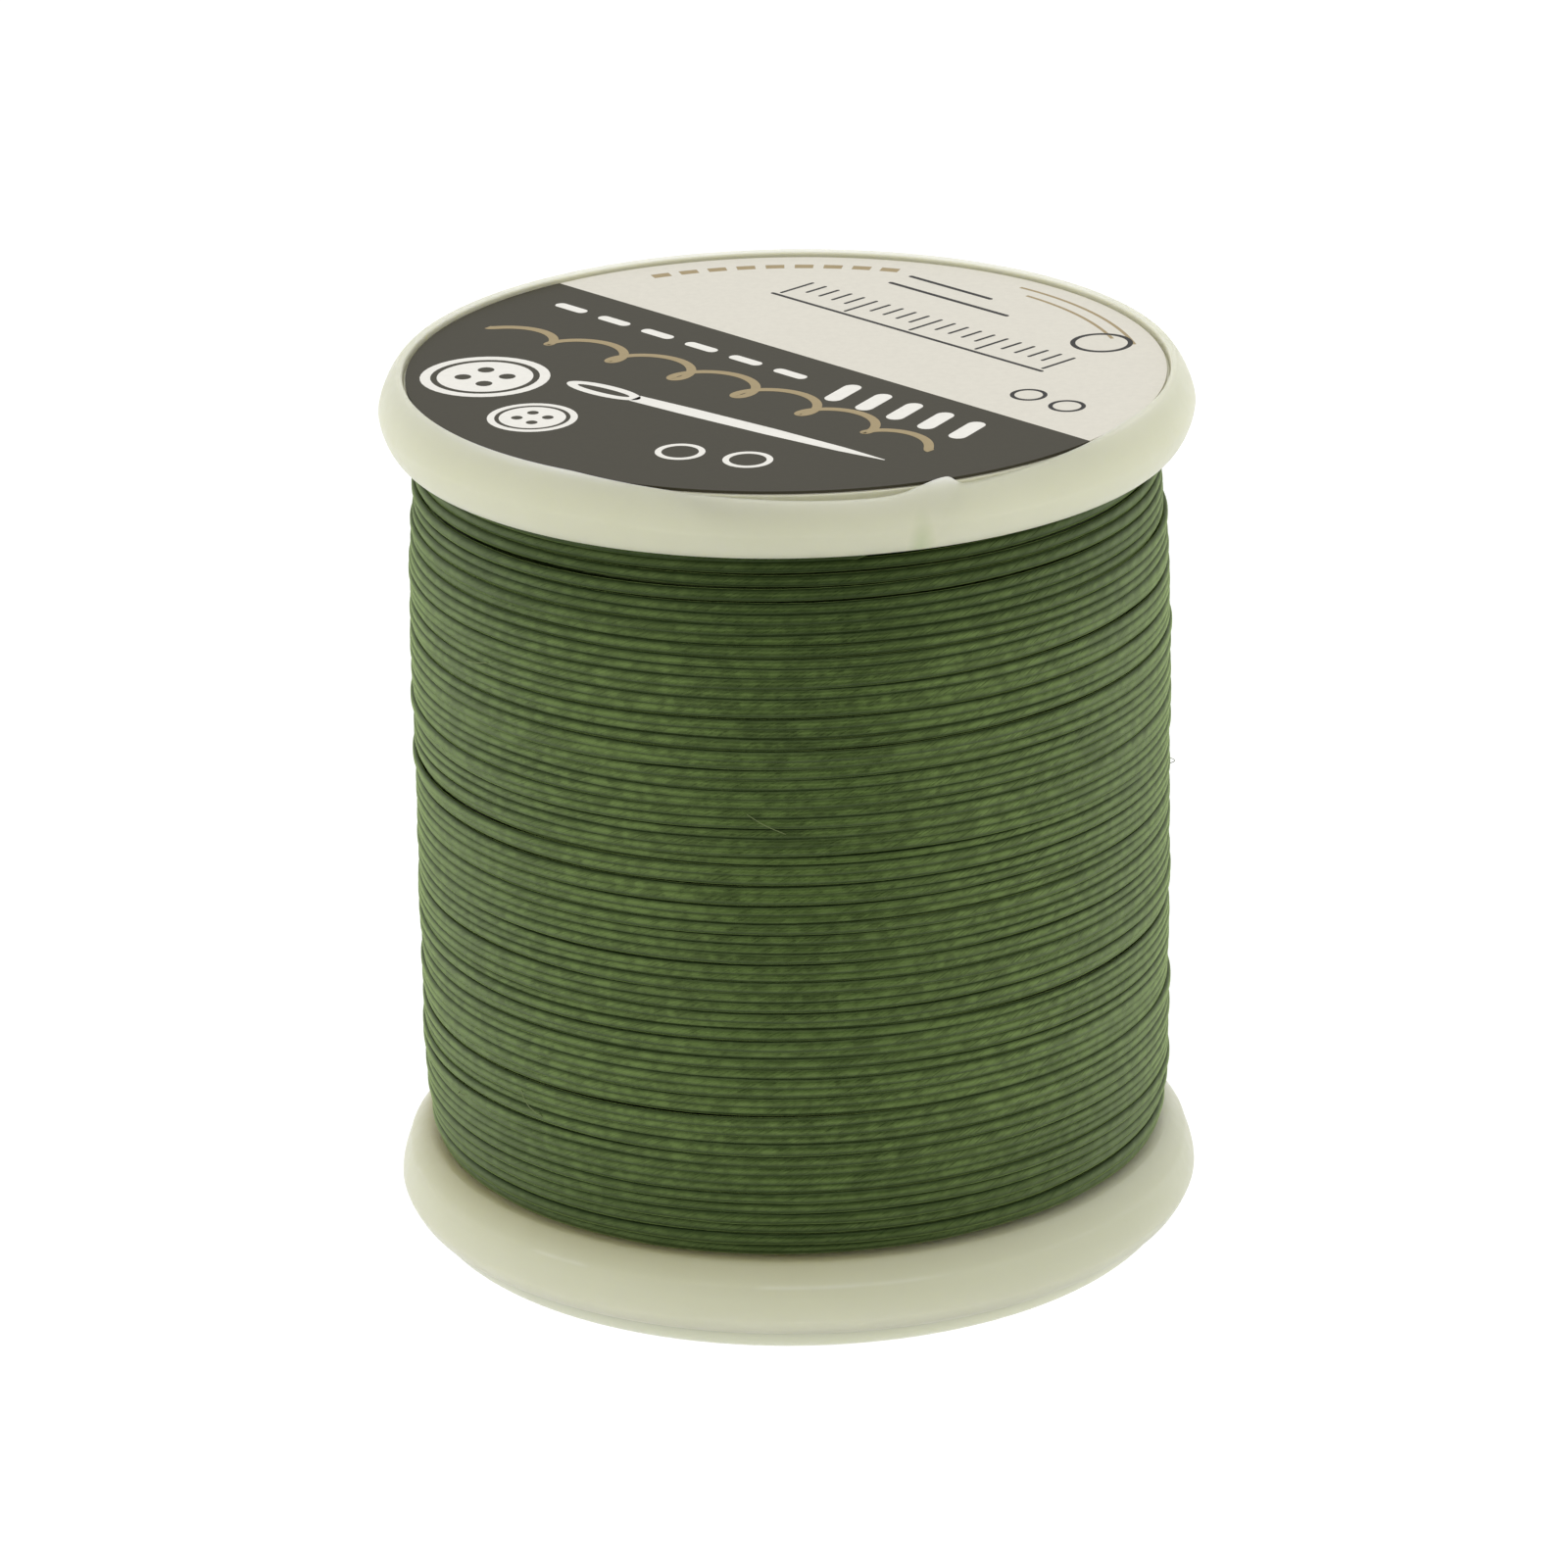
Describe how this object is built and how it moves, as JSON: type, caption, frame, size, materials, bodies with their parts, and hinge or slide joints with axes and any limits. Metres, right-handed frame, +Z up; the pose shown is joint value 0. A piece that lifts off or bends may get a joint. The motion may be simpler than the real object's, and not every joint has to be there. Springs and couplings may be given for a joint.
{
  "type": "thread spool",
  "caption": "Small plastic thread spool with rounded flanges, a spindle bore, snap-in end caps, a round label and a full winding of green thread.",
  "frame": {"origin": "centre of the lower end, on the surface the spool stands on", "axes": "+Z up along the spindle bore, from the bare end to the labelled end"},
  "size_m": [0.022, 0.022, 0.0243],
  "materials": {
    "spool_plastic": "satin",
    "label_paper": "coated",
    "thread": "soft lustre"
  },
  "bodies": {
    "root": {"spool_body": "spool_plastic", "bottom_cap": "spool_plastic", "top_cap": "spool_plastic", "top_label": "label_paper", "thread_layers": "thread", "thread_winding": "thread", "thread_tail": "thread"}
  },
  "joints": []
}
